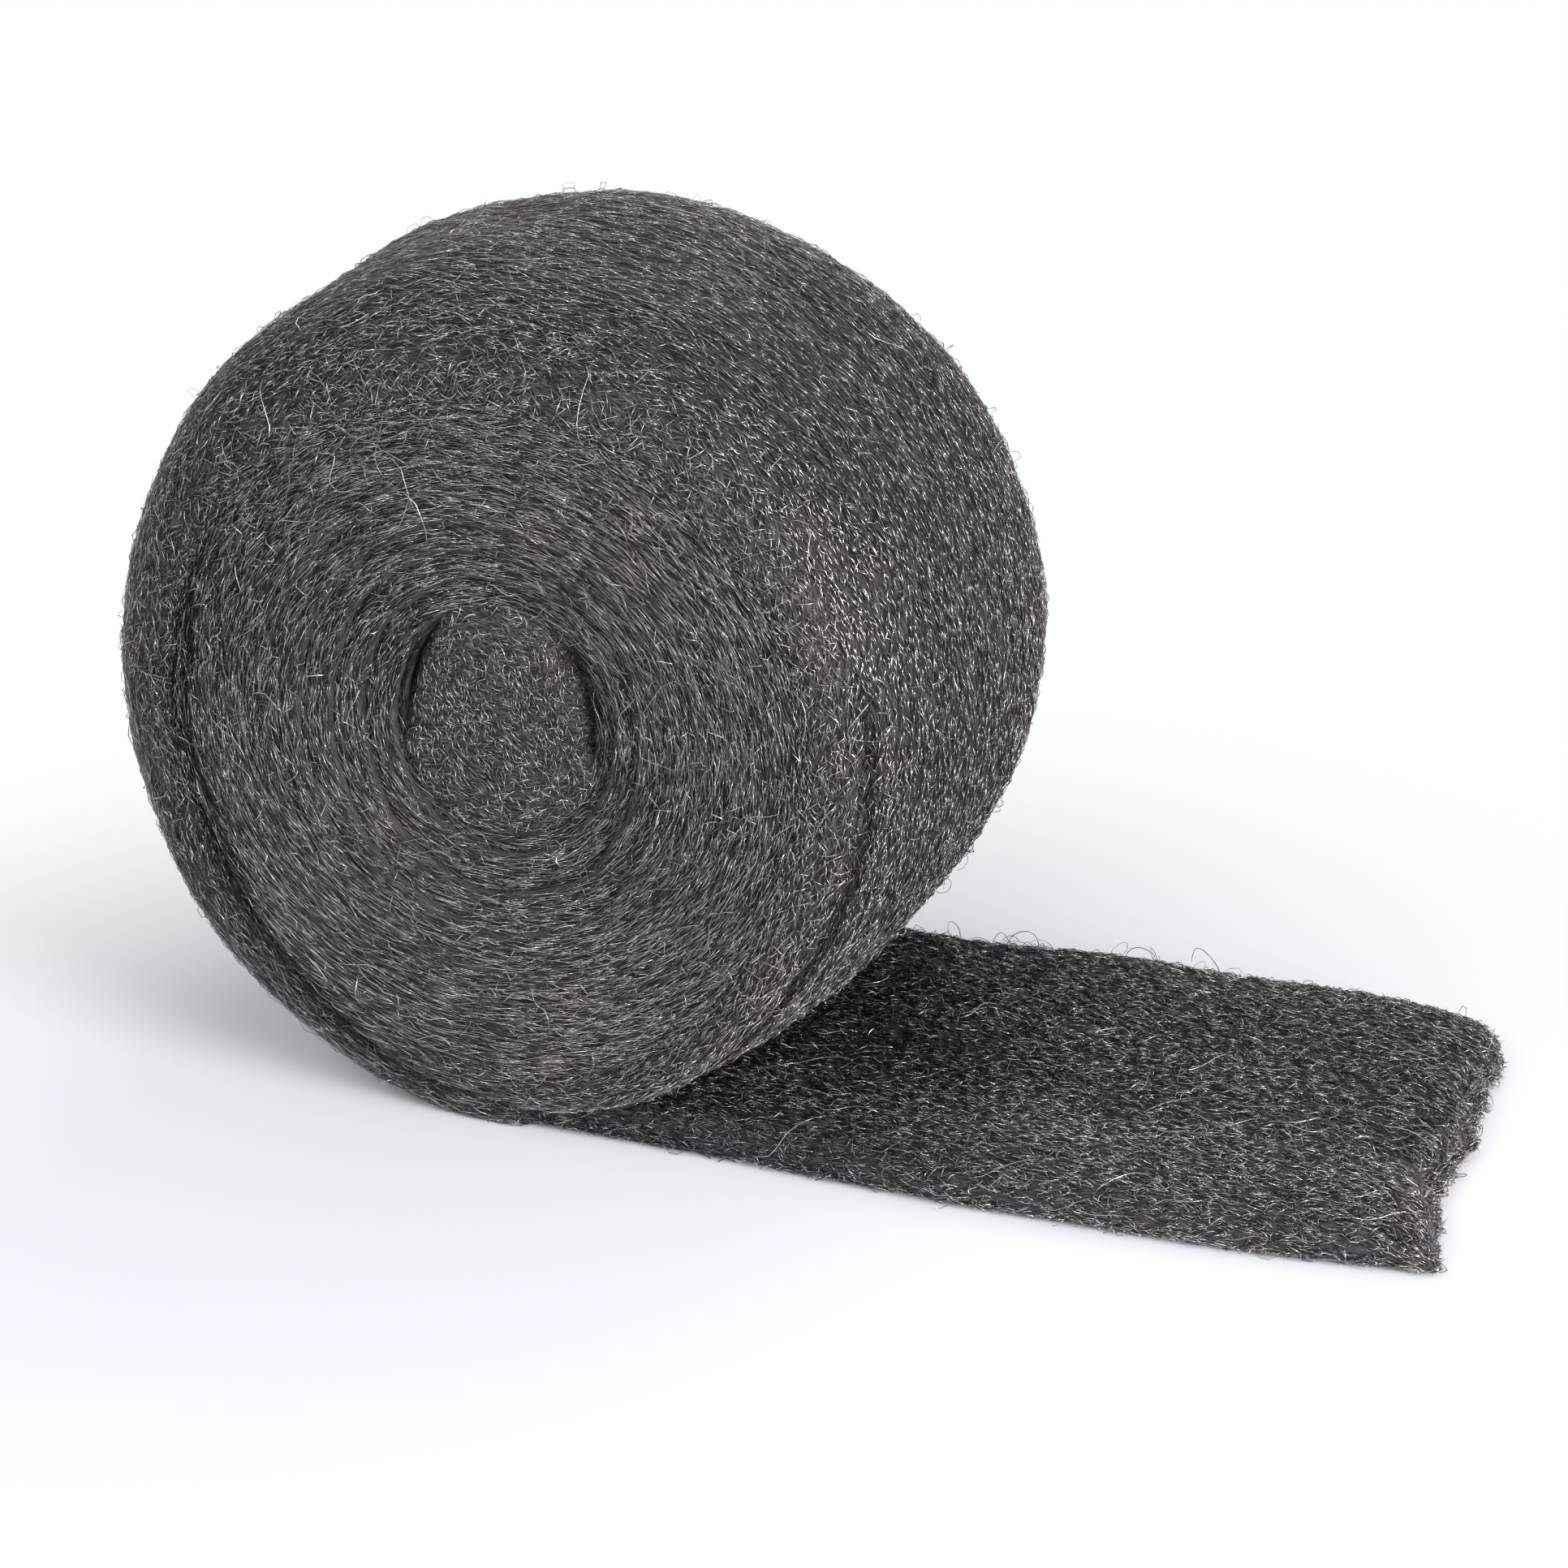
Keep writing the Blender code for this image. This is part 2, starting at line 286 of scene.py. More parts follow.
    def loosened(self, winding):
        """How far the last turn springs back, easing in, and hangs out, as a squared half sine."""
        to_end = self.total - winding
        slack = np.sin(math.pi * np.minimum(1.0, to_end / self.sizes.slack_angle)) ** 2
        return self.spring_back * smooth(1 - to_end / self.sizes.loose_angle) + self.sizes.slack * slack

    def place(self, radius, heading, y, depth=0.0):
        """Points at a radius and heading about the roll's axis, sagged in height and kept above the bench."""
        x = radius * np.cos(heading)
        z = self.axis_height + self.height_share * radius * np.sin(heading)
        return stack(x, y, np.maximum(depth, z))

    def face(self, radius, heading, side):
        """Points on the roll's front or back face, as a height field over radius and heading.

        Each turn's edge is the dome that its rounding gives, y = edge - rounding * (1 - sqrt(1 - (k t)**2)),
        with t from -1 at the groove inside it to 1 at the groove outside it, and k the share not bedded in.
        """
        left = self.thinned(FACE_ACROSS, heading)
        last = self.total - TURN + (heading + math.pi / 2) % TURN
        bedded = self.sizes.layer_pitch / (self.sizes.layer_pitch + self.sizes.layer_bite)
        height = self.half_width(last) - self.rounding(last) + 0 * radius
        for layer in range(self.layers):
            winding = last - TURN * layer
            y = side * self.half_width(winding)
            outer = self.outer_side(winding, heading, left, y)
            inner = self.outer_side(winding - TURN, heading, left, y)
            t = np.clip((2 * radius - inner - outer) / np.maximum(outer - inner, 1e-5), -1, 1)
            dome = np.sqrt(1 - (bedded * t) ** 2)
            turn_height = self.half_width(winding) - self.rounding(winding) * (1 - dome)
            height = np.where((radius <= outer) & (winding > 0), turn_height, height)
        return self.place(radius, heading, side * height)

    def face_limit(self, heading):
        """Radius at which a face gives way to the last turn's edge."""
        last = self.total - TURN + (heading + math.pi / 2) % TURN
        return self.outer_side(last - TURN, heading, self.thinned(FACE_ACROSS, heading), 0.0)

    def tail_half_width(self, distance):
        """Half the tail's width at a distance along it: a neck, the full width, then a slight taper."""
        s = self.sizes
        narrowed = np.maximum(0.0, 1 - (s.tail_length - distance) / s.tail_narrowing_length) ** 2
        neck = s.tail_neck * (1 - smooth(distance / s.tail_spread))
        return s.strip_width / 2 - neck - s.tail_narrowing * narrowed

    def tail(self, distance, over, side=1, depth=0.0):
        """Points on the tail's top (1) or underside (-1) at a distance along it and over it.

        z = middle + side * (middle - depth) * roundness * sqrt(1 - closing**2), where middle is half the
        thickness left at the edge and at the tear, and closing rises to 0.97 where the torn end closes up.
        x is scaled to the torn end's outline: a skew as across**3, waves, and two fine sines for notches.
        """
        s = self.sizes
        half = self.tail_half_width(distance) - depth
        y, roundness = self.folded(over, half, s.edge_round)
        across = y / half
        torn = np.maximum(0.0, 1 - (s.tail_length - distance) / s.tear_length) ** 2
        spread = smooth(distance / s.tail_spread)
        left = 1 - s.edge_thinning * spread * np.abs(across) ** 4
        thickness = s.tail_thickness + lumps(s, self.total * self.outer_radius + distance, y)
        middle = thickness * left * (1 - s.tear_thinning * torn) / 2
        closing = np.clip(1 - (s.tail_length - distance) / s.tear_round, 0.0, 0.97)
        middle = middle * (1 - 0.25 * closing)
        notch = s.tear_notch * (np.sin(19 * across + 1) + np.sin(43 * across)) * torn
        end = s.tail_length - s.tear_skew * across**3 + s.tear_wave * self.torn_wave(across)
        z = middle + side * (middle - depth) * roundness * np.sqrt(1 - closing**2)
        return stack(distance / s.tail_length * end + notch, y, z)

    def torn_wave(self, across):
        """The torn end's outline over the tail's width, as a sine from -1 to 1."""
        return np.sin(math.pi * self.sizes.tear_waves * (across + 1))

    def wad_rim(self, heading):
        """Radius of the oval wad: radius * (1 + oval * cos(2 * angle from its long axis))."""
        return self.sizes.wad_radius * (1 + self.sizes.wad_oval * np.cos(2 * (heading - self.sizes.wad_tilt)))

    def cracked(self, heading):
        """How far the wad stands off from the first turn: it fades from each gap as (cos - 0.7) / 0.3."""
        return sum(np.maximum(0.0, (np.cos(heading - math.radians(gap)) - 0.7) / 0.3) for gap in WAD_GAPS)

    def wad_end(self, out, heading, side):
        """Points on the wad's end, from its middle (0) to its rim (1) and past it.

        The end is crowned, y = crown * (1 - out**2). Where it is cracked off from the first turn, its rim
        draws in by the gap and its edge drops away as rounding * out**10.
        """
        s = self.sizes
        crack = self.cracked(heading)
        rim = self.wad_rim(heading) * 1.03 - s.wad_gap * crack
        half = float(self.half_width(TURN))
        y = half - 0.0003 + s.wad_crown * (1 - out**2) - s.wad_round * crack * out**10
        return self.place(rim * out, heading, side * y)


def smooth(value):
    """Eases a share from 0 to 1 with no corner at either end: 3 s**2 - 2 s**3."""
    value = np.clip(value, 0.0, 1.0)
    return value * value * (3 - 2 * value)


def bell(value, width):
    """A bell curve of a distance from its middle, exp(-(value / width)**2)."""
    return np.exp(-((value / width) ** 2))


def towards(heading, middle, start, full):
    """How nearly a heading is the middle one: smooth((cosine - start) / full)."""
    return smooth((np.cos(heading - middle) - start) / full)


def lumps(sizes, along, across):
    """Soft lumps in the fleece: the mean of three sine waves, 4 to 10 cm long, along and across the strip."""
    first = np.sin(150 * along + 1.3) * np.sin(105 * across + 0.4)
    second = 0.7 * np.sin(120 * along - 70 * across + 2.1)
    third = 0.6 * np.sin(60 * along + 150 * across + 4.0)
    return sizes.lump_height * (first + second + third) / 2


def stack(x, y, z):
    """Points from arrays of coordinates that broadcast together."""
    return np.stack(np.broadcast_arrays(x, y, z), axis=-1)


def unit(vectors):
    """The same directions with a length of 1."""
    return vectors / np.maximum(np.linalg.norm(vectors, axis=-1, keepdims=True), 1e-12)


def normals_on(surface, first, second, step_first, step_second):
    """Unit normals of a surface of two parameters: the cross product of its two central differences."""
    along = surface(first + step_first, second) - surface(first - step_first, second)
    across = surface(first, second + step_second) - surface(first, second - step_second)
    return unit(np.cross(along, across))


def new_mesh(name, points, corners, sizes):
    """A mesh object from whole arrays: points, all faces' corners in a row, and each face's corner count."""
    mesh = bpy.data.meshes.new(name)
    mesh.vertices.add(len(points))
    mesh.vertices.foreach_set("co", points.astype(np.float32).ravel())
    mesh.loops.add(len(corners))
    mesh.loops.foreach_set("vertex_index", corners.astype(np.int32))
    mesh.polygons.add(len(sizes))
    mesh.polygons.foreach_set("loop_start", (np.cumsum(sizes) - sizes).astype(np.int32))
    mesh.update(calc_edges=True)
    mesh.shade_smooth()
    piece = bpy.data.objects.new(name, mesh)
    bpy.context.collection.objects.link(piece)
    return piece


def closed_tube(name, rings, lay_along, lay_over):
    """A closed skin through rings of points, with the lie of the strip as its UV map.

    rings is an array of rings by points. Seen from the first ring, the points run counterclockwise, so that
    the skin faces outwards. Each point's UV is its distance along and over the strip. The end rings are
    closed by joining each point of their first half to the one across from it.
    """
    ring_count, around = rings.shape[:2]
    ring = np.arange(ring_count - 1)[:, None] * around
    here = np.arange(around)[None, :]
    after = (here + 1) % around
    quads = np.stack(
        [ring + here, ring + around + here, ring + around + after, ring + after], axis=-1
    ).reshape(-1, 4)
    near = np.arange(1, around // 2 - 1)
    cap = np.stack([near, near + 1, around - near - 1, around - near], axis=-1).ravel()
    tips = np.array([0, 1, around - 1, around // 2 - 1, around // 2, around // 2 + 1])
    last = (ring_count - 1) * around
    corners = np.concatenate([quads.ravel(), cap, last + cap[::-1], tips, last + tips[::-1]])
    sizes = np.concatenate([np.full(len(quads) + 2 * len(near), 4), np.full(4, 3)])
    piece = new_mesh(name, rings.reshape(-1, 3), corners, sizes)
    lay = np.stack([lay_along.ravel(), lay_over.ravel()], axis=-1)[corners]
    piece.data.uv_layers.new(name="lay").data.foreach_set("uv", lay.astype(np.float32).ravel())
    return piece


def rods(name, paths, normals, radii, shades):
    """Fibres as three-sided rods that end in points, one for each path.

    A rod's rings are path + radius * (side * cos(turn) + lift * sin(turn)) at three turns, where side and
    lift are square to the path. The shade at each step goes into the point attribute of that name.
    """
    fibres, steps = paths.shape[:2]
    along = unit(np.gradient(paths, axis=1))
    side = unit(np.cross(normals, along))
    lift = np.cross(along, side)
    turns = TURN * np.arange(3) / 3 + math.pi / 2
    round_path = side[:, 1:-1, None] * np.cos(turns)[:, None] + lift[:, 1:-1, None] * np.sin(turns)[:, None]
    rings = paths[:, 1:-1, None] + round_path * radii[:, None, None, None]
    rings = rings.reshape(fibres, -1, 3)
    points = np.concatenate([paths[:, :1], rings, paths[:, -1:]], axis=1)
    each = points.shape[1]
    start = np.arange(fibres)[:, None] * each
    three = np.arange(3)
    after = (three + 1) % 3
    tip = np.zeros(3, int)
    near_cap = np.stack([tip, 1 + after, 1 + three], axis=-1).reshape(-1)
    last = each - 4
    far_cap = np.stack([tip + each - 1, last + three, last + after], axis=-1).reshape(-1)
    hoop = 1 + 3 * np.arange(steps - 3)[:, None]
    sides = np.stack([hoop + three, hoop + after, hoop + 3 + after, hoop + 3 + three], axis=-1).reshape(-1)
    pattern = np.concatenate([near_cap, far_cap, sides])
    sizes = np.tile(np.concatenate([np.full(6, 3), np.full(3 * (steps - 3), 4)]), fibres)
    piece = new_mesh(name, points.reshape(-1, 3), (start + pattern).ravel(), sizes)
    shade = piece.data.attributes.new("shade", "FLOAT", "POINT")
    ring_shades = np.repeat(shades[:, 1:-1], 3, axis=1)
    shades = np.concatenate([shades[:, :1], ring_shades, shades[:, -1:]], axis=1)
    shade.data.foreach_set("value", shades.astype(np.float32).ravel())
    return piece


def strokes(rng, fibres, steps, run, spread, curl):
    """Each fibre's run about its middle, as distances along and across the grain.

    It is a straight run with a parabola's bend and one shallow wave, turned by a random angle from the grain.
    One fibre in six strays three times as far as the rest.
    """
    t = np.linspace(-0.5, 0.5, steps)
    lengths = run * rng.uniform(0.45, 1.6, (fibres, 1))
    stray = np.where(rng.random((fibres, 1)) < 1 / 6, 3.0, 1.0)
    turned = rng.normal(0.0, spread, (fibres, 1)) * stray
    bend = rng.normal(0.0, curl, (fibres, 1)) * (0.5 - 2 * t**2)
    wave = rng.normal(0.0, curl / 4, (fibres, 1)) * np.sin(TURN * t)
    forward = lengths * t
    sideways = lengths * (bend + wave)
    along = forward * np.cos(turned) - sideways * np.sin(turned)
    across = forward * np.sin(turned) + sideways * np.cos(turned)
    return along, across


def rise(rng, fibres, steps, depth, lift):
    """Height of each fibre over the skin: its own depth in the fleece, and a lift out of it.

    Half the fibres have a free end that lifts as t**2. The others are loops, which lift as 4 t (1 - t).
    """
    t = np.linspace(0.0, 1.0, steps)
    flipped = np.where(rng.random((fibres, 1)) < 0.5, t, t[::-1])
    shape = np.where(rng.random((fibres, 1)) < 0.5, flipped**2, 4 * t * (1 - t))
    return depth * rng.random((fibres, 1)) + np.abs(rng.normal(0.0, lift, (fibres, 1))) * shape


def shades_of(rng, heights, glints):
    """Shade along each fibre: painted shade deep in the fleece, and one painted glint at a random place along
    it.

    It is 0.30 * level**1.5 + 0.14 * a random share, where level is the fibre's rank in height, so that lower
    fibres carry painted shade. The painted glint is a bell curve of t about a random place, times 0.75 * a
    random share**3.5, so that few are bright.
    """
    fibres, steps = heights.shape
    t = np.linspace(0.0, 1.0, steps)
    level = (np.argsort(np.argsort(heights.mean(axis=1))) / fibres)[:, None]
    glint = bell(t - rng.uniform(0.3, 0.7, (fibres, 1)), 0.35)
    plain = 0.30 * level**1.5 + 0.14 * rng.random((fibres, 1))
    return plain + 0.75 * glints * rng.random((fibres, 1)) ** 3.5 * glint


def streaks(across, along):
    """Lighter and darker lines along the grain, one to five millimetres apart, from -1 to 1.

    It is the mean of three sine waves across the grain. Two slow sines sway each as it runs along.
    """
    total = 0.0
    for apart, phase in ((0.0012, 0.0), (0.0021, 2.0), (0.0052, 4.0)):
        sway = 2.3 * np.sin(along / 0.013 + phase) + 1.9 * np.sin(along / 0.0071 + across / 0.006 + 2 * phase)
        total = total + np.sin(TURN * across / apart + sway + phase)
    return total / 3


def dress(piece, material):
    """Gives a finished piece its material, and ties it to the roll's body."""
    piece.data.materials.append(material)
    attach(piece, BODY)


def node(tree, kind, settings=None, links=None):
    """Adds a node with its settings and with links from other nodes' outputs into its inputs."""
    made = tree.nodes.new(kind)
    for name, value in (settings or {}).items():
        if isinstance(name, int) or name in made.inputs:
            made.inputs[name].default_value = value
        else:
            setattr(made, name, value)
    for name, source in (links or {}).items():
        tree.links.new(source, made.inputs[name])
    return made


def new_material(name):
    """A material with only its output node, and that node."""
    material = bpy.data.materials.new(name)
    material.use_nodes = True
    material.node_tree.nodes.clear()
    return material, material.node_tree, node(material.node_tree, "ShaderNodeOutputMaterial")


def rgba(value):
    """A colour with an alpha of 1, as a node's socket takes it."""
    return [*value[:3], 1.0]


def fibre_steel(colours):
    """Shaved low-carbon steel wire: scraped flat by the blade, so bright, with a slightly rough grey face.

    It gives the eye thin glints along each fibre and a darker tone wherever fibres shade each other. Both
    come partly from the lamps and partly from painted glints and painted shade in the shade attribute.
    """
    material = bpy.data.materials.get("shaved steel fibre")
    if material:
        return material
    material, tree, out = new_material("shaved steel fibre")
    shade = node(tree, "ShaderNodeAttribute", {"attribute_name": "shade"})
    ramp = node(tree, "ShaderNodeValToRGB", links={"Fac": shade.outputs["Fac"]})
    # The ramp runs from dark steel with painted shade to light steel with painted glints.
    ramp.color_ramp.elements[0].color = rgba(colours.dark_steel_and_shade)
    ramp.color_ramp.elements[1].color = rgba(colours.light_steel_and_glint)
    surface = node(
        tree,
        "ShaderNodeBsdfPrincipled",
        {"Metallic": 0.85, "Roughness": 0.28},
        {"Base Color": ramp.outputs["Color"]},
    )
    tree.links.new(surface.outputs["BSDF"], out.inputs["Surface"])
    return material


def packed_steel(colours):
    """The same steel, packed too deep to be built one fibre at a time.

    It gives the eye crossing strands with dark gaps of painted shade between them. Each is a stretched
    Voronoi cell about
    0.25 mm wide and 4.5 mm long, several times a real fibre's width, so that it shows.
    """
    material = bpy.data.materials.get("packed steel wool")
    if material:
        return material
    material, tree, out = new_material("packed steel wool")
    lay = node(tree, "ShaderNodeUVMap", {"uv_map": "lay"})
    sway = node(
        tree, "ShaderNodeTexNoise", {"Scale": 1 / 0.008, "Detail": 2.0}, {"Vector": lay.outputs["UV"]}
    )
    swayed = node(
        tree,
        "ShaderNodeVectorMath",
        {"operation": "MULTIPLY_ADD", 1: (0.0, 0.0009, 0.0)},
        {0: sway.outputs["Color"], 2: lay.outputs["UV"]},
    )
    topmost = None
    strand_length = 0.0045
    for turned, wide in ((-14, 0.00025), (2, 0.00022), (15, 0.00028)):
        grain = node(
            tree,
            "ShaderNodeMapping",
            {
                "vector_type": "TEXTURE",
                "Rotation": (0, 0, math.radians(turned)),
                "Scale": (strand_length, wide, 1),
            },
            {"Vector": swayed.outputs["Vector"]},
        )
        cell = node(
            tree,
            "ShaderNodeTexVoronoi",
            {"voronoi_dimensions": "2D", "Scale": 1.0},
            {"Vector": grain.outputs["Vector"]},
        )
        ridge = node(
            tree,
            "ShaderNodeMath",
            {"operation": "MULTIPLY_ADD", 1: -1.7, 2: 1.0, "use_clamp": True},
            {0: cell.outputs["Distance"]},
        )
        chance = node(tree, "ShaderNodeSeparateColor", links={"Color": cell.outputs["Color"]})
        strand = node(
            tree, "ShaderNodeMath", {"operation": "MULTIPLY"}, {0: ridge.outputs[0], 1: chance.outputs["Red"]}
        )
        if topmost:
            both = {0: topmost.outputs[0], 1: strand.outputs[0]}
            strand = node(tree, "ShaderNodeMath", {"operation": "MAXIMUM"}, both)
        topmost = strand
    ramp = node(tree, "ShaderNodeValToRGB", links={"Fac": topmost.outputs[0]})
    # The ramp runs from the gaps' painted shade to the packed steel's own colour.
    ramp.color_ramp.elements[0].position = 0.1
    ramp.color_ramp.elements[0].color = rgba(colours.gap)
    ramp.color_ramp.elements[1].position = 0.9
    ramp.color_ramp.elements[1].color = rgba(colours.packed)
    relief = node(
        tree, "ShaderNodeBump", {"Strength": 0.5, "Distance": 0.0003}, {"Height": topmost.outputs[0]}
    )
    surface = node(
        tree,
        "ShaderNodeBsdfPrincipled",
        {"Metallic": 0.6, "Roughness": 0.6},
        {"Base Color": ramp.outputs["Color"], "Normal": relief.outputs["Normal"]},
    )
    tree.links.new(surface.outputs["BSDF"], out.inputs["Surface"])
    return material


def lay_fibres(context, name, rng, paths, normals, height, width=1.0, lightness=0.0, glints=1.0):
    """Builds one piece of fibres that follow these paths at this height over the skin.

    Width scales their thickness, and glints how much lighter their painted glints make them. Lightness, one
    number or one for each fibre, is added to their shades. A rod's radius is 0.58 of the width that it is
    seen with.
    """
    fibre = context.scene.wool_fibres
    paths = paths + normals * (height[..., None] - fibre.depth / 2)
    paths[..., 2] = np.maximum(paths[..., 2], fibre.width)
    radii = fibre.width * 0.58 * width * rng.uniform(0.7, 1.2, len(paths))
    shades = np.clip(shades_of(rng, height, glints) + lightness, 0, 1)
    dress(rods(name, paths, normals, radii, shades), fibre_steel(context.scene.wool_colours))


def random_for(fibre, piece, order=0):
    """Random numbers of its own for each piece, from the seed."""
    return np.random.default_rng(fibre.seed + PIECE_SEEDS[piece] + order)


def cover(context, name, rng, scatter, fibres, steps, lie, lift, above=0.0, lighter=0.0, **look):
    """Scatters fibres over one part of the strip and builds them as one piece.

    lie is their mean run, spread and curl. They lift out of the fleece by about lift, from this far above its
    bottom, and lighter is added to the lightness that the scatter gives them.
    """
    strip = WoundStrip(context.scene.wool_roll)
    paths, normals, light = scatter(strip, rng, fibres, steps, *lie)
    height = rise(rng, fibres, steps, context.scene.wool_fibres.depth, lift) + above
    lay_fibres(context, name, rng, paths, normals, height, lightness=light + lighter, **look)


class WOOL_OT_strip(bpy.types.Operator):
    """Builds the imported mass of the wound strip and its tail"""

    bl_idname = "wool.strip"
    bl_label = "Wound strip"

    def execute(self, context):
        sizes = context.scene.wool_roll
        strip = WoundStrip(sizes)
        edge_steps, flat_steps, wound_steps, tail_steps, end_steps = 6, 14, 540, 47, 5
        depth = context.scene.wool_fibres.depth / 2
        windings = np.linspace(0.02, strip.total, wound_steps)[:, None]
        distances = np.linspace(0, sizes.tail_length - sizes.tear_round, tail_steps + 1)[1:]
        closing = 1 - np.sin(np.linspace(0, math.pi / 2, end_steps + 1)[1:])
        distances = np.concatenate([distances, sizes.tail_length - sizes.tear_round * closing])[:, None]
        rings, lay_over = [], []
        for stations, half, rounding, surface, outward in (
            (windings, strip.half_width(windings), strip.rounding(windings), strip.wound, 1),
            (distances, strip.tail_half_width(distances), sizes.edge_round, strip.tail, -1),
        ):
            flat = half - rounding
            middle = np.sin(math.pi / 2 * np.linspace(-1, 1, flat_steps + 1)) * flat
            edge = flat + np.linspace(0, 1, edge_steps + 1)[1:] * strip.edge_arc(rounding)
            over = np.concatenate([-edge[:, ::-1], middle, edge], axis=1)
            outer = surface(stations, over, outward, depth)
            inner = surface(stations, over[:, 1:-1], -outward, depth)[:, ::-1]
            rings.append(np.concatenate([outer, inner], axis=1))
            underneath = over[:, -1:] * 2 - over[:, 1:-1][:, ::-1]
            lay_over.append(np.concatenate([over, underneath], axis=1))
        rings, lay_over = np.concatenate(rings), np.concatenate(lay_over)
        steps = np.linalg.norm(np.diff(rings.mean(axis=1), axis=0), axis=1)
        along = np.concatenate([[0.0], np.cumsum(np.maximum(steps, 1e-4))])[:, None]
        along = along + 0 * lay_over
        piece = closed_tube("strip_body", rings[::-1], along[::-1], lay_over[::-1])
        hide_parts(ROLL_NODE)
        dress(piece, packed_steel(context.scene.wool_colours))
        return {"FINISHED"}


class WOOL_OT_wad(bpy.types.Operator):
    """Builds the folded wad in the middle of the roll, with its fibres"""

    bl_idname = "wool.wad"
    bl_label = "Folded wad"

    def execute(self, context):
        sizes, fibre = context.scene.wool_roll, context.scene.wool_fibres
        strip = WoundStrip(sizes)
        around_steps, out_steps = 72, 24
        headings = np.linspace(0, TURN, around_steps, endpoint=False)[None, :]
        outs = np.linspace(0.02, 1, out_steps)[:, None]
        front = strip.wad_end(outs, headings, FRONT)
        back = strip.wad_end(outs, headings, BACK)[::-1]
        rings = np.concatenate([front, back])
        body = closed_tube("wad_body", rings, rings[..., 0], rings[..., 2])
        dress(body, packed_steel(context.scene.wool_colours))
        for name, side in (("wad_fibres_front", FRONT), ("wad_fibres_back", BACK)):
            rng = random_for(fibre, "wad", side)
            out = 0.98 * np.sqrt(rng.random((fibre.wad, 1)))
            heading = rng.uniform(0, TURN, (fibre.wad, 1))
            along, across = strokes(rng, fibre.wad, PLAIN_STEPS, fibre.run * 0.8, math.radians(28), curl=0.25)
            at_rim = out > rng.uniform(0.35, 0.95, (fibre.wad, 1))
            lie = np.where(at_rim, heading + math.pi / 2, math.radians(-60))  # round the rim, or as folded
            x = out * np.cos(heading) + (along * np.cos(lie) - across * np.sin(lie)) / sizes.wad_radius
            z = out * np.sin(heading) + (along * np.sin(lie) + across * np.cos(lie)) / sizes.wad_radius
            paths = strip.wad_end(np.minimum(np.hypot(x, z), 1.06), np.arctan2(z, x), side)
            normals = np.broadcast_to([0.0, float(side), 0.0], paths.shape)
            height = rise(rng, fibre.wad, PLAIN_STEPS, fibre.depth, lift=0.0002)
            # Painted shade at the wad's rim beside the gaps to the first turn.
            light = 0.01 - 0.6 * strip.cracked(heading) * smooth((out - 0.86) / 0.1)
            lay_fibres(context, name, rng, paths, normals, height, lightness=light)
        return {"FINISHED"}


class WOOL_OT_tread(bpy.types.Operator):
    """Lays the fibres on the roll's round side and over its edges, in two layers"""

    bl_idname = "wool.tread"
    bl_label = "Tread fibres"

    def execute(self, context):
        fibre = context.scene.wool_fibres
        for layer, name in enumerate(("tread_fibres_under", "tread_fibres_over")):
            cover(
                context,
                name,
                random_for(fibre, "tread", layer),
                tread_paths,
                fibre.tread,
                PLAIN_STEPS,
                (fibre.run * 1.2, fibre.spread, 0.10),
                lift=0.0001 + 0.0002 * layer,
                above=layer * fibre.depth / 2,
                glints=0.7,
            )
        return {"FINISHED"}


def tread_paths(strip, rng, fibres, steps, run, spread, curl):
    """Paths, outward normals and lightness of fibres on the outside of the last turn and round its edges.

    They are scattered twice as densely at the edges as in the middle, since the skin is steeper there. The
    front edge's painted shade and painted sheen are bell curves across. The rest has painted shade on top and
    inside the crease round a face, and is lighter where the fleece is most tousled.
    """
    winding = strip.total - TURN * rng.random((fibres, 1))
    heading = strip.heading(winding)
    half, rounding = strip.half_width(winding), strip.rounding(winding)
    place = rng.uniform(-1, 1, (fibres, 1))
    over = (0.6 * place + 0.4 * np.sin(math.pi / 2 * place)) * strip.reach(half, rounding, 1.7)
    messy = 1 + TOUSLED * mess(heading) * smooth(0.5 + 2 * (-over / half - 0.6))
    # Painted shade inside the crease round a face, on the inner side of the edge.
    crease_shade = smooth((np.abs(over) - strip.reach(half, rounding, 0.9)) / 0.002) * crease_shading(heading)
    light = 0.05 * streaks(over, winding * strip.outer_radius) - 0.2 * crease_shade + 0.06 * mess(heading)
    # Painted shade on top of the roll.
    light -= 0.05 * np.maximum(0.0, np.sin(heading))
    # Painted shade in a fold and painted sheen on the shoulder and rim of the front edge.
    for inset, width, middle, start, full, lighter in EDGE_PAINTED_LIGHT:
        light += lighter * bell(over + half - inset, width) * towards(heading, middle, start, full)
    along, across = strokes(rng, fibres, steps, run, spread * messy, curl)
    windings = np.minimum(winding + along / strip.outer_radius, strip.total)
    limit = strip.reach(strip.half_width(windings), strip.rounding(windings), 1.8)
    overs = np.clip(over + across, -limit, limit)
    return strip.wound(windings, overs), -normals_on(strip.wound, windings, overs, 1e-3, 1e-4), light


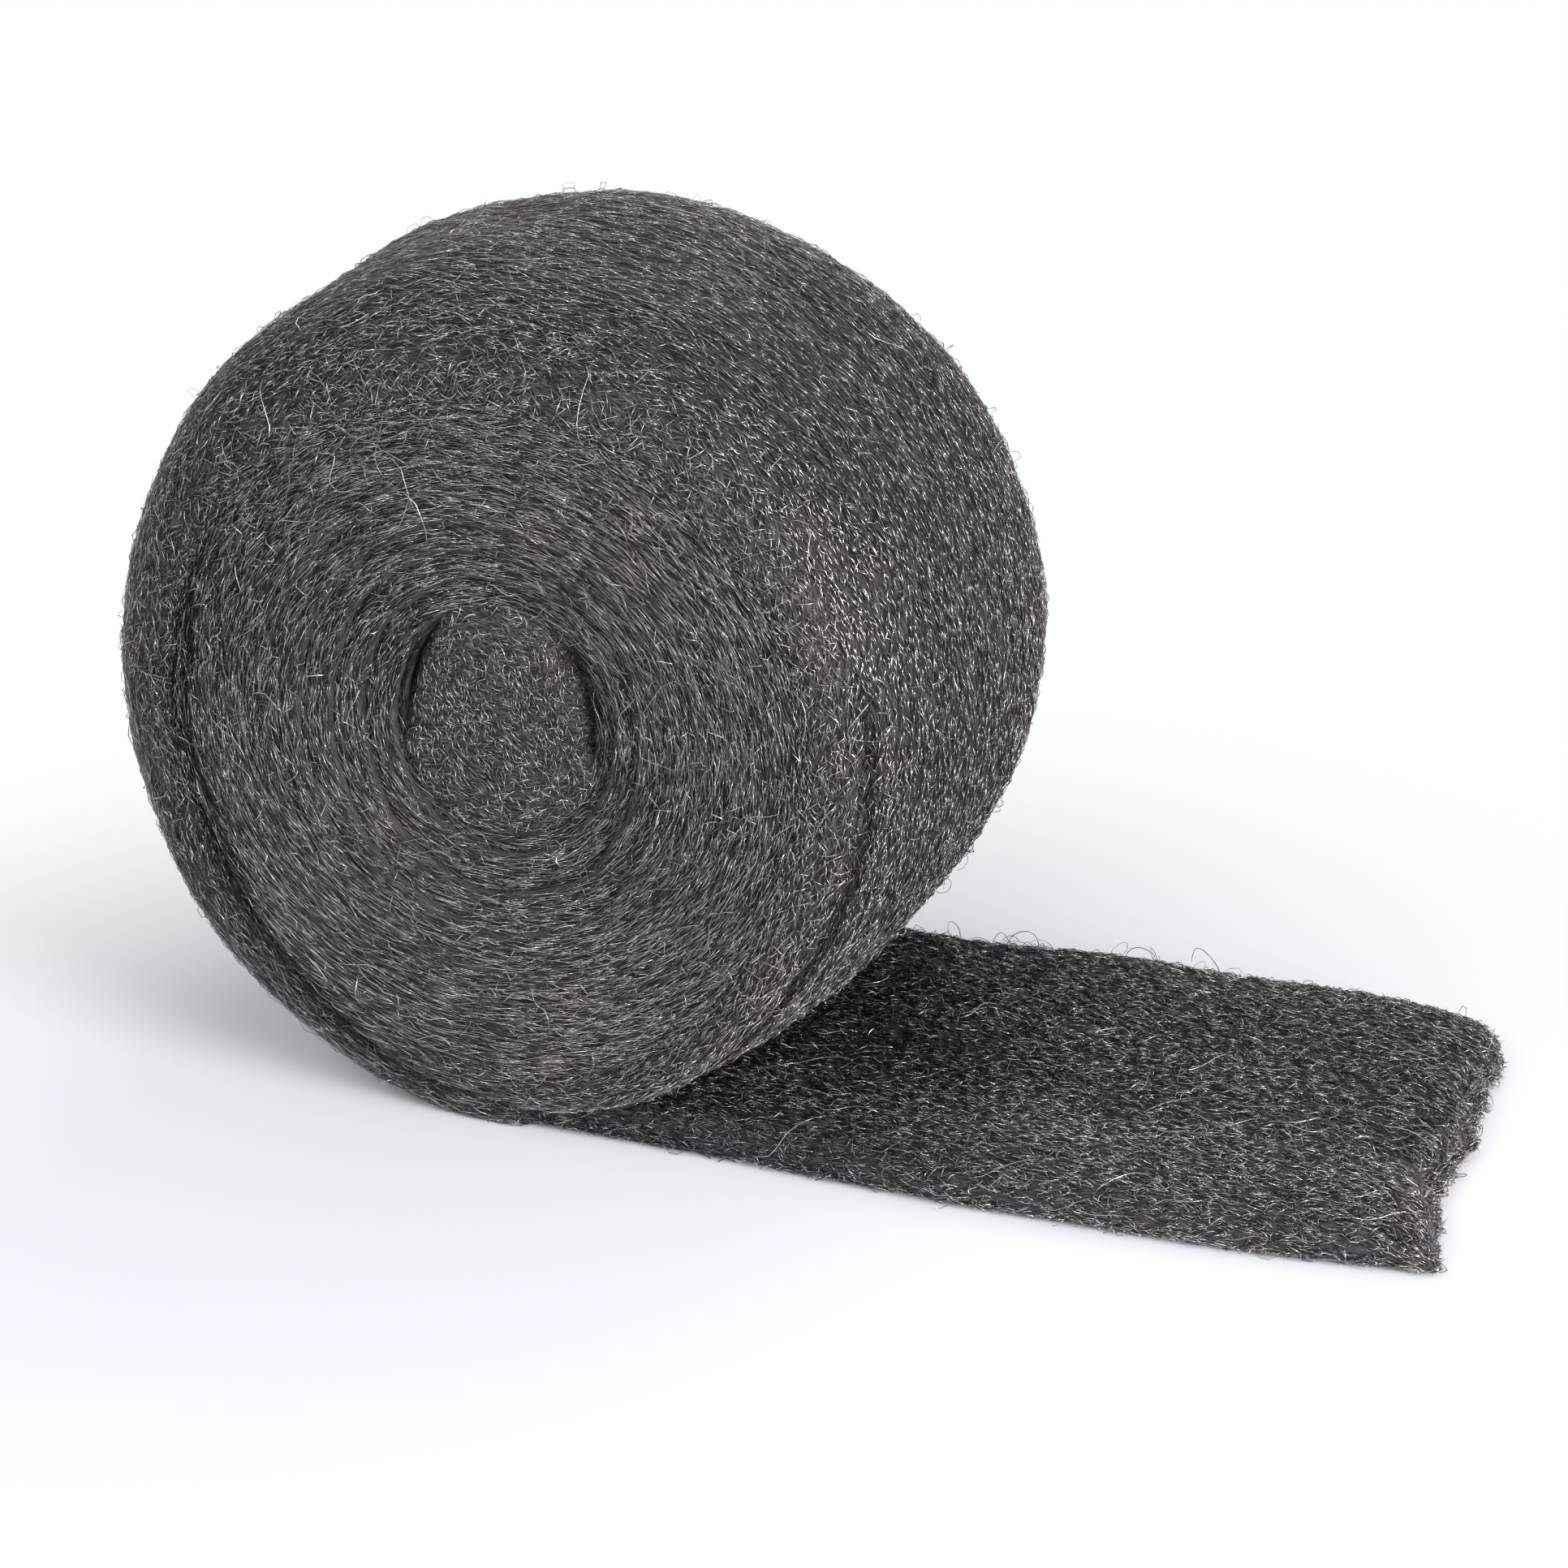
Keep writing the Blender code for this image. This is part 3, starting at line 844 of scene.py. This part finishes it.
def tail_paths(strip, rng, fibres, steps, run, spread, curl):
    """Paths, outward normals and lightness of fibres scattered over the tail's top and round its edges.

    A fibre that would pass the torn end is drawn back by as much. The fleece has painted shade from 90 to 45
    mm along, under the roll, and a slight painted shade past 100 mm. It has painted light over a quarter of
    its width at the near edge.
    """
    sizes = strip.sizes
    margin = 0.0006  # how far short of the torn end the fibres stop
    distance = sizes.tail_length * rng.random((fibres, 1))
    reach = strip.reach(strip.tail_half_width(distance), sizes.edge_round, 1.8)
    over = rng.uniform(-1, 1, (fibres, 1)) * reach
    along, across = strokes(rng, fibres, steps, run, spread, curl)
    past = (distance + along).max(axis=1, keepdims=True) - sizes.tail_length + margin
    distances = np.maximum(distance + along - np.maximum(0.0, past), 0.0)
    overs = np.clip(over + across, -reach, reach)
    # Painted shade under the roll and past 100 mm, and painted light at the near edge.
    light = 0.05 * streaks(over, distance) - 0.22 * smooth((0.090 - distance) / 0.045)
    light += 0.12 * smooth(3 - 4 * (1 + over / reach)) - 0.04 * smooth((distance - 0.10) / 0.04)
    return strip.tail(distances, overs), normals_on(strip.tail, distances, overs, 1e-4, 1e-4), light


def face_paths(strip, rng, fibres, steps, run, spread, curl, side):
    """Paths, outward normals and lightness of fibres scattered over one face, from the wad to the last turn.

    A painted shade of a crease runs inside the last turn, as a bell curve across. It wanders, and shows on
    the roll's left and lower left. The fibres have painted shade beside the gaps round the wad too, and a
    little painted shade on top.
    """
    heading = rng.uniform(0, TURN, (fibres, 1))
    inner, outer = strip.wad_rim(heading), strip.face_limit(heading)
    radius = np.sqrt(inner**2 + (outer**2 - inner**2) * rng.random((fibres, 1)))
    messy = 1 + TOUSLED * mess(heading) * smooth((radius / outer - 0.7) / 0.3)
    inset = 0.0010 + 0.0008 * np.sin(4 * heading + 1) + 0.0004 * np.sin(11 * heading)
    # Painted shade in the crease inside the last turn.
    crease_shade = bell(outer - radius - inset, 0.0011) * crease_shading(heading)
    # Painted shade beside the gaps round the wad.
    crack = bell(radius - inner, 0.0012) * strip.cracked(heading)
    light = 0.08 * streaks(radius, heading * radius) - 0.35 * crease_shade - 0.5 * crack
    # Painted shade on top.
    light -= 0.06 * np.maximum(0.0, np.sin(heading))
    along, across = strokes(rng, fibres, steps, run, spread * messy, curl)
    headings = heading + along / radius
    radii = np.maximum(radius + across, inner * 0.97)

    def surface(first, second):
        return strip.face(second, first, side)

    return surface(headings, radii), side * normals_on(surface, headings, radii, 1e-3, 1e-4), light


def crease_shading(heading):
    """How strongly the painted shade of the crease between the last turn and a face shows: fully on the
    roll's left and lower left.
    """
    return towards(heading, math.radians(203), 0.45, 0.35)


def mess(heading):
    """How tousled the fleece is: most at the roll's upper left, as the positive part of a cosine."""
    return np.maximum(0.0, np.cos(heading - math.radians(118)))


class WOOL_OT_faces(bpy.types.Operator):
    """Lays the fibres on the roll's two faces, round and round with the turns"""

    bl_idname = "wool.faces"
    bl_label = "Face fibres"

    def execute(self, context):
        fibre = context.scene.wool_fibres
        for name, side, fibres in (
            ("face_fibres_front", FRONT, fibre.face),
            ("face_fibres_back", BACK, fibre.back),
        ):
            cover(
                context,
                name,
                random_for(fibre, "face", side),
                partial(face_paths, side=side),
                fibres,
                PLAIN_STEPS,
                (fibre.run * 1.6, fibre.spread * 0.65, 0.05),
                lift=0.00012,
                width=0.85,
                glints=0.75,
            )
        return {"FINISHED"}


class WOOL_OT_tail(bpy.types.Operator):
    """Lays the fibres on the tail, its edges and its torn end"""

    bl_idname = "wool.tail"
    bl_label = "Tail fibres"

    def execute(self, context):
        fibre, sizes = context.scene.wool_fibres, context.scene.wool_roll
        strip = WoundStrip(sizes)
        cover(
            context,
            "tail_fibres",
            random_for(fibre, "tail"),
            tail_paths,
            fibre.tail,
            PLAIN_STEPS,
            (fibre.run * 0.75, fibre.spread * 2.2, 0.2),
            lift=0.0003,
            # Painted shade darkens the whole of the tail's top.
            lighter=-0.09,
        )
        rng = random_for(fibre, "torn")
        half = float(strip.tail_half_width(sizes.tail_length)) - 0.0005
        over = rng.uniform(-1, 1, (fibre.torn, 1)) * half
        back = 0.0030 * rng.random((fibre.torn, 1)) ** 2
        top = strip.tail(sizes.tail_length - back, over, 1)
        bottom = strip.tail(sizes.tail_length - back, over, -1)
        level = rng.random((fibre.torn, 1, 1))
        points = top * level + bottom * (1 - level)
        hollow = sizes.tear_wave * (1 - strip.torn_wave(over / half))
        points[..., 0] += 0.8 * hollow * rng.random((fibre.torn, 1))
        headings = rng.uniform(0, TURN, (fibre.torn, 1))
        rising = rng.normal(0.0, 0.5, (fibre.torn, 1))
        shares = np.linspace(-0.5, 0.5, TORN_STEPS)
        run = fibre.run * 0.5 * rng.uniform(0.4, 1.4, (fibre.torn, 1)) * shares
        bend = rng.normal(0.0, 0.0005, (fibre.torn, 1)) * np.array([0.0, 1.0, 1.0, 0.0])
        lie = stack(
            run * np.cos(headings) - bend * np.sin(headings),
            run * np.sin(headings) + bend * np.cos(headings),
            run * rising,
        )
        normals = np.broadcast_to([0.0, 0.0, 1.0], lie.shape)
        height = np.full(lie.shape[:2], fibre.depth / 2)
        lay_fibres(context, "torn_end_fibres", rng, points + lie, normals, height)
        return {"FINISHED"}


class WOOL_OT_fuzz(bpy.types.Operator):
    """Raises fibres with free ends out of the fleece, and lays long ones across the others"""

    bl_idname = "wool.fuzz"
    bl_label = "Fuzz and strays"

    def execute(self, context):
        fibre = context.scene.wool_fibres
        fuzz_lie = (fibre.run * 0.7, fibre.spread * 3, 0.5)
        stray_lie = (fibre.run * 2, fibre.spread * 2.2, 0.4)
        # Each kind's name, fibres, steps, lie, lift, height over the fleece's bottom, and added lightness,
        # painted light on fibres that stand out of the fleece.
        kinds = (
            ("fuzz", fibre.fuzz, FUZZ_STEPS, fuzz_lie, 0.0009, 0.0, 0.05),
            ("strays", fibre.stray, STRAY_STEPS, stray_lie, 0.0004, fibre.depth / 2, 0.2),
        )
        # Each place's name, what scatters fibres there, and its share of them.
        places = (
            ("tread", tread_paths, 0.7),
            ("front", partial(face_paths, side=FRONT), 0.6),
            ("back", partial(face_paths, side=BACK), 0.4),
            ("tail", tail_paths, 0.7),
        )
        for order, (where, scatter, part) in enumerate(places):
            rng = random_for(fibre, "fuzz", order)
            for kind, fibres, steps, lie, lift, above, lighter in kinds:
                name, fibres = f"{kind}_{where}", round(fibres * part)
                cover(context, name, rng, scatter, fibres, steps, lie, lift, above, lighter, width=0.8)
        return {"FINISHED"}


class WOOL_OT_hairs(bpy.types.Operator):
    """Pulls single long hairs and loops out of the fleece, where handling has caught it"""

    bl_idname = "wool.hairs"
    bl_label = "Loose hairs"

    def execute(self, context):
        fibre, sizes = context.scene.wool_fibres, context.scene.wool_roll
        strip = WoundStrip(sizes)
        rng = random_for(fibre, "hairs")
        half = sizes.strip_width / 2
        edge = strip.edge_arc(sizes.edge_round)
        # Each group's name, hairs, places along and across the tail, size, and how far outwards they leave.
        groups = (
            ("far_edge", 26, (0.045, 0.100), (half - 0.003, half - 0.001), 0.0035, 0.5),
            ("far_end", 16, (0.100, 0.140), (half - 0.003, half - 0.001), 0.0014, 0.5),
            ("near_edge", 12, (0.030, 0.138), (0.001 - half, 0.003 - half), 0.0022, -0.6),
        )
        for name, hairs, (near, far), (low, high), size, outward in groups:
            distance = rng.uniform(near, far, (hairs, 1))
            root = strip.tail(distance, rng.uniform(low, high, (hairs, 1)) + outward * edge)[:, 0]
            rising = 0.8 if outward > 0 else 0.1  # those on the far edge stand up
            lay_hairs(context, f"hairs_{name}", rng, root, [0.0, outward, rising], size)
        wedge_hairs, end_hairs = 16, 8
        winding = strip.total - TURN + rng.uniform(0.35, 1.1, (wedge_hairs, 1))
        root = strip.wound(winding, rng.uniform(-0.5, 1.0, (wedge_hairs, 1)) * half)[:, 0]
        lay_hairs(context, "hairs_wedge", rng, root, [0.8, 0.1, -0.3], 0.0030)
        across = rng.uniform(-0.9, 0.8, (end_hairs, 1)) * half
        root = strip.tail(np.full((end_hairs, 1), sizes.tail_length), across, 0)[:, 0]
        lay_hairs(context, "hairs_torn_end", rng, root, [1.0, 0.0, 0.1], 0.0028)
        return {"FINISHED"}


def lay_hairs(context, name, rng, roots, outward, size):
    """Builds thin curled hairs that leave their roots outwards and bend away and back.

    A hair follows an arc, root + radius * (out * sin(a) + aside * (1 - cos(a))), whose angle a runs to
    between a third of a turn and three quarters. A slow sine sways it out of the arc's plane.
    """
    fibre = context.scene.wool_fibres
    hairs = len(roots)
    out = unit(np.array(outward) + rng.normal(0.0, 0.35, (hairs, 3)))
    aside = unit(np.cross(out, rng.normal(0.0, 1.0, (hairs, 3))))
    third = np.cross(out, aside)
    radius = size * rng.uniform(0.35, 1.0, (hairs, 1, 1))
    arc = rng.uniform(2.1, 4.7, (hairs, 1, 1)) * np.linspace(0.0, 1.0, HAIR_STEPS)[:, None]
    sway = 0.25 * radius * np.sin(1.7 * arc + rng.uniform(0, TURN, (hairs, 1, 1)))
    paths = (
        roots[:, None]
        + radius * (out[:, None] * np.sin(arc) + aside[:, None] * (1 - np.cos(arc)))
        + third[:, None] * (sway - sway[:, :1])
    )
    normals = np.broadcast_to(third[:, None], paths.shape)
    height = np.full(paths.shape[:2], fibre.depth / 2)
    lay_fibres(context, name, rng, paths, normals, height, width=0.7)


class WOOL_OT_stage(bpy.types.Operator):
    """Sets the bench, the soft lights, the pale surroundings and the camera"""

    bl_idname = "wool.stage"
    bl_label = "Stage"

    def execute(self, context):
        add_bench(context.scene.wool_colours)
        add_lights()
        add_surroundings(context.scene)
        add_camera(context.scene)
        context.scene.view_settings.view_transform = "Standard"
        return {"FINISHED"}


def add_bench(colours):
    """A wide flat bench at Z = 0, matt and pale.

    The eye and any gloss see it as plain white further out, easing from 0.11 to 0.23 m from a place in front
    of the roll.
    """
    half = 4.0
    corners = half * np.array([(-1, -1, 0), (1, -1, 0), (1, 1, 0), (-1, 1, 0)], float)
    bench = new_mesh("bench", corners, np.arange(4), np.array([4]))
    material, tree, out = new_material("matt white paper")
    paper = node(
        tree,
        "ShaderNodeBsdfPrincipled",
        {"Base Color": rgba(colours.floor), "Roughness": 0.9, "Specular IOR Level": 0.2},
    )
    white = node(tree, "ShaderNodeEmission", {"Color": (1, 1, 1, 1), "Strength": 1.0})
    place = node(tree, "ShaderNodeTexCoord")
    distance = node(
        tree,
        "ShaderNodeVectorMath",
        {"operation": "DISTANCE", 1: (0.03, -0.07, 0.0)},
        {0: place.outputs["Object"]},
    )
    far = node(
        tree,
        "ShaderNodeMapRange",
        {"interpolation_type": "SMOOTHSTEP", "From Min": 0.11, "From Max": 0.23, "To Min": 0.0},
        {"Value": distance.outputs["Value"]},
    )
    outside = node(
        tree, "ShaderNodeMath", {"operation": "MULTIPLY"}, {0: far.outputs["Result"], 1: seen_plainly(tree)}
    )
    mixed = node(
        tree,
        "ShaderNodeMixShader",
        links={0: outside.outputs[0], 1: paper.outputs["BSDF"], 2: white.outputs["Emission"]},
    )
    tree.links.new(mixed.outputs["Shader"], out.inputs["Surface"])
    bench.data.materials.append(material)


def seen_plainly(tree):
    """1 for what the camera sees, by itself or through gloss or glass, and 0 for light on its way."""
    ray = node(tree, "ShaderNodeLightPath")
    seen = ray.outputs["Is Camera Ray"]
    for kind in ("Is Glossy Ray", "Is Transmission Ray"):
        links = {0: seen, 1: ray.outputs[kind]}
        seen = node(tree, "ShaderNodeMath", {"operation": "MAXIMUM"}, links).outputs[0]
    return seen


def add_lights():
    """Four soft boxes: one high behind, one low on the right, one high on the left and a wide one in front.

    All face the roll's middle. Their sizes are in metres and their powers in watts.
    """
    middle = Vector((0, 0, 0.06))
    for name, place, size, power in (
        ("back softbox", (0.10, 0.70, 0.80), 0.60, 2.2),
        ("right softbox", (1.00, -0.45, 0.34), 0.50, 22.0),
        ("left softbox", (-0.55, -0.55, 0.75), 0.50, 3.8),
        ("front softbox", (0.10, -1.05, 0.45), 0.70, 3.4),
    ):
        lamp = bpy.data.lights.new(name, "AREA")
        lamp.size = size
        lamp.energy = power
        softbox = bpy.data.objects.new(name, lamp)
        bpy.context.collection.objects.link(softbox)
        away = Vector(place) - middle
        softbox.matrix_world = Matrix.Translation(place) @ away.to_track_quat("Z", "Y").to_matrix().to_4x4()


def add_surroundings(scene):
    """Even pale light from all round, and a dimmer ceiling where the direction's height passes 0.3."""
    world = bpy.data.worlds.new("pale studio")
    world.use_nodes = True
    world.node_tree.nodes.clear()
    tree = world.node_tree
    way = node(tree, "ShaderNodeTexCoord")
    height = node(tree, "ShaderNodeSeparateXYZ", links={"Vector": way.outputs["Generated"]})
    ceiling = node(
        tree,
        "ShaderNodeMapRange",
        {"interpolation_type": "SMOOTHSTEP", "From Min": 0.3, "From Max": 0.95, "To Min": 1.0, "To Max": 0.3},
        {"Value": height.outputs["Z"]},
    )
    glow = node(tree, "ShaderNodeBackground", {"Color": (1, 1, 1, 1), "Strength": 0.5})
    white = node(
        tree, "ShaderNodeBackground", {"Color": (1, 1, 1, 1)}, {"Strength": ceiling.outputs["Result"]}
    )
    mixed = node(
        tree,
        "ShaderNodeMixShader",
        links={0: seen_plainly(tree), 1: glow.outputs["Background"], 2: white.outputs["Background"]},
    )
    out = node(tree, "ShaderNodeOutputWorld")
    tree.links.new(mixed.outputs["Shader"], out.inputs["Surface"])
    scene.world = world


def add_camera(scene):
    """The camera: azimuth 25.5 and elevation 21.7 degrees, 0.7 m from the roll's middle.

    It looks 2.5 degrees right of the roll and 2.1 degrees below it, so that the tail is in view, and is
    tipped by 2.2 degrees.
    """
    azimuth, elevation, distance = math.radians(25.496), math.radians(21.679), 0.70
    pan, tilt, tip = math.radians(2.4917), math.radians(2.0715), math.radians(-2.2404)
    aim = Vector((-0.0016, 0.0, 0.070))
    back = Vector(
        (
            math.sin(azimuth) * math.cos(elevation),
            -math.cos(azimuth) * math.cos(elevation),
            math.sin(elevation),
        )
    )
    right = Vector((math.cos(azimuth), math.sin(azimuth), 0))
    up = back.cross(right)
    sideways = right * math.sin(pan) * math.cos(tilt)
    look = -back * math.cos(pan) * math.cos(tilt) + sideways - up * math.sin(tilt)
    look.normalize()
    level = look.cross(Vector((0, 0, 1))).normalized()
    upright = level.cross(look)
    x_axis = level * math.cos(tip) + upright * math.sin(tip)
    y_axis = upright * math.cos(tip) - level * math.sin(tip)
    camera_data = bpy.data.cameras.new("camera")
    camera_data.sensor_width = 36.0
    camera_data.lens = 99.76
    camera_data.clip_end = 20.0
    camera = bpy.data.objects.new("camera", camera_data)
    scene.collection.objects.link(camera)
    turned = Matrix((x_axis, y_axis, -look)).transposed().to_4x4()
    camera.matrix_world = Matrix.Translation(aim + back * distance) @ turned
    scene.camera = camera


class WOOL_PT_panel(bpy.types.Panel):
    """Lists the roll's pieces and its main sizes"""

    bl_idname = "WOOL_PT_panel"
    bl_label = "Steel Wool Roll"
    bl_space_type = "VIEW_3D"
    bl_region_type = "UI"
    bl_category = "Steel Wool"

    def draw(self, context):
        for operator in OPERATORS:
            self.layout.operator(operator.bl_idname)
        for group in (context.scene.wool_roll, context.scene.wool_fibres, context.scene.wool_colours):
            box = self.layout.box()
            for name in group.__annotations__:
                box.prop(group, name)


GROUPS = (WoolRollSizes, WoolFibreSizes, WoolColours)
OPERATORS = (
    WOOL_OT_strip,
    WOOL_OT_wad,
    WOOL_OT_tread,
    WOOL_OT_faces,
    WOOL_OT_tail,
    WOOL_OT_fuzz,
    WOOL_OT_hairs,
    WOOL_OT_stage,
)


def register():
    for item in (*GROUPS, *OPERATORS, WOOL_PT_panel):
        bpy.utils.register_class(item)
    bpy.types.Scene.wool_roll = PointerProperty(type=WoolRollSizes)
    bpy.types.Scene.wool_fibres = PointerProperty(type=WoolFibreSizes)
    bpy.types.Scene.wool_colours = PointerProperty(type=WoolColours)


def unregister():
    del bpy.types.Scene.wool_colours
    del bpy.types.Scene.wool_fibres
    del bpy.types.Scene.wool_roll
    for item in reversed((*GROUPS, *OPERATORS, WOOL_PT_panel)):
        bpy.utils.unregister_class(item)


def main():
    register()
    bpy.ops.wool.strip()
    bpy.ops.wool.wad()
    bpy.ops.wool.tread()
    bpy.ops.wool.faces()
    bpy.ops.wool.tail()
    bpy.ops.wool.fuzz()
    bpy.ops.wool.hairs()
    bpy.ops.wool.stage()


if __name__ == "__main__":
    main()
